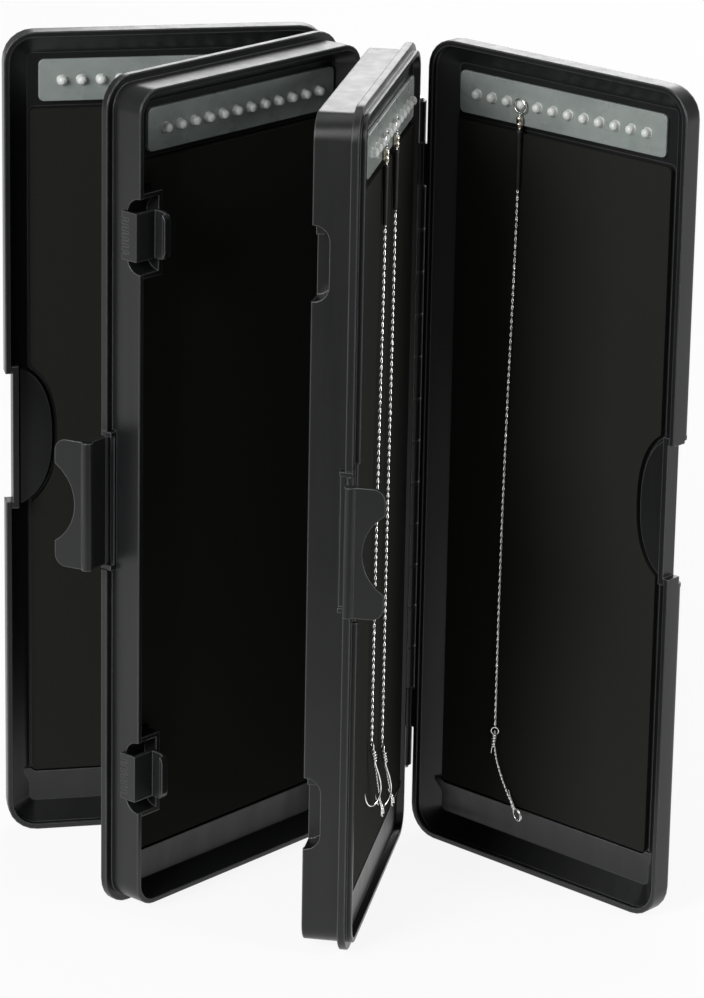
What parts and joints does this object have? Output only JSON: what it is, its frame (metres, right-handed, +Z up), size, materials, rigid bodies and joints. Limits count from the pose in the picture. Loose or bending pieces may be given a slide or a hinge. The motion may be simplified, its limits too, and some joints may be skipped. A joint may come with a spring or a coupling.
{
  "type": "fishing rig box",
  "caption": "Fishing rig box whose trays and covers open like a book, with peg strips, foam liners, edge clips and slide latches.",
  "frame": {"origin": "middle of the standing box's footprint, on the ground", "axes": "+Z up along the hinges, +X to the right and +Y away from a viewer who looks into the open leaves"},
  "size_m": [0.2822, 0.1782, 0.355],
  "materials": {
    "shell_plastic": "satin moulded charcoal",
    "latch_plastic": "satin moulded charcoal",
    "strip_plastic": "smoky grey green, half clear",
    "foam": "fine closed-cell foam",
    "steel": "drawn wire",
    "brass": "dull brass",
    "rubber": "soft black tube"
  },
  "bodies": {
    "tray_b": {"tray_b_shell": "shell_plastic", "tray_b_inner_foam": "foam", "tray_b_outer_foam": "foam", "tray_b_inner_strip": "strip_plastic", "tray_b_outer_strip": "strip_plastic", "clip_b_base": "latch_plastic", "clip_b_pin": "steel", "hinge_pin_middle": "steel", "hinge_pin_b": "steel", "rig_c_swivel": "brass", "rig_c_sleeve": "rubber", "rig_c_wire": "steel", "rig_c_knot": "steel", "rig_c_tail": "steel", "rig_c_hook": "steel", "rig_d_swivel": "brass", "rig_d_sleeve": "rubber", "rig_d_wire": "steel", "rig_d_knot": "steel", "rig_d_tail": "steel", "rig_d_hook": "steel"},
    "tray_a": {"tray_a_shell": "shell_plastic", "tray_a_inner_foam": "foam", "tray_a_outer_foam": "foam", "tray_a_inner_strip": "strip_plastic", "tray_a_outer_strip": "strip_plastic", "clip_a_base": "latch_plastic", "clip_a_pin": "steel", "hinge_pin_a": "steel"},
    "cover_a": {"cover_a_shell": "shell_plastic", "cover_a_foam": "foam", "cover_a_strip": "strip_plastic"},
    "cover_b": {"cover_b_shell": "shell_plastic", "cover_b_foam": "foam", "cover_b_strip": "strip_plastic", "rig_b_swivel": "brass", "rig_b_sleeve": "rubber", "rig_b_wire": "steel", "rig_b_knot": "steel", "rig_b_tail": "steel"},
    "clip_a": {"clip_a_flap": "latch_plastic"},
    "clip_b": {"clip_b_flap": "latch_plastic"},
    "slider_low": {"slider_low": "latch_plastic"},
    "slider_high": {"slider_high": "latch_plastic"}
  },
  "joints": [
    {"name": "tray_hinge", "type": "hinge", "parent": "tray_b", "child": "tray_a", "pos_m": [0.01351, 0.06764, 0], "axis": [0, 0, -1], "range_deg": [-31.7, 68.3]},
    {"name": "cover_a_hinge", "type": "hinge", "parent": "tray_a", "child": "cover_a", "pos_m": [-0.00042, 0.08036, 0], "axis": [0, 0, -1], "range_deg": [-36.8, 73.2]},
    {"name": "cover_b_hinge", "type": "hinge", "parent": "tray_b", "child": "cover_b", "pos_m": [0.03206, 0.06413, 0], "axis": [0, 0, 1], "range_deg": [-57.3, 52.7]},
    {"name": "clip_a_hinge", "type": "hinge", "parent": "tray_a", "child": "clip_a", "pos_m": [-0.09387, -0.0243, 0.1795], "axis": [0, 0, 1], "range_deg": [-92, 58]},
    {"name": "clip_b_hinge", "type": "hinge", "parent": "tray_b", "child": "clip_b", "pos_m": [0.00446, -0.07344, 0.1795], "axis": [0, 0, -1], "range_deg": [-77, 73]},
    {"name": "slider_low_slide", "type": "slide", "parent": "tray_a", "child": "slider_low", "axis": [0, 0, 1], "range_m": [-0.003, 0.003]},
    {"name": "slider_high_slide", "type": "slide", "parent": "tray_a", "child": "slider_high", "axis": [0, 0, 1], "range_m": [-0.003, 0.003]}
  ]
}
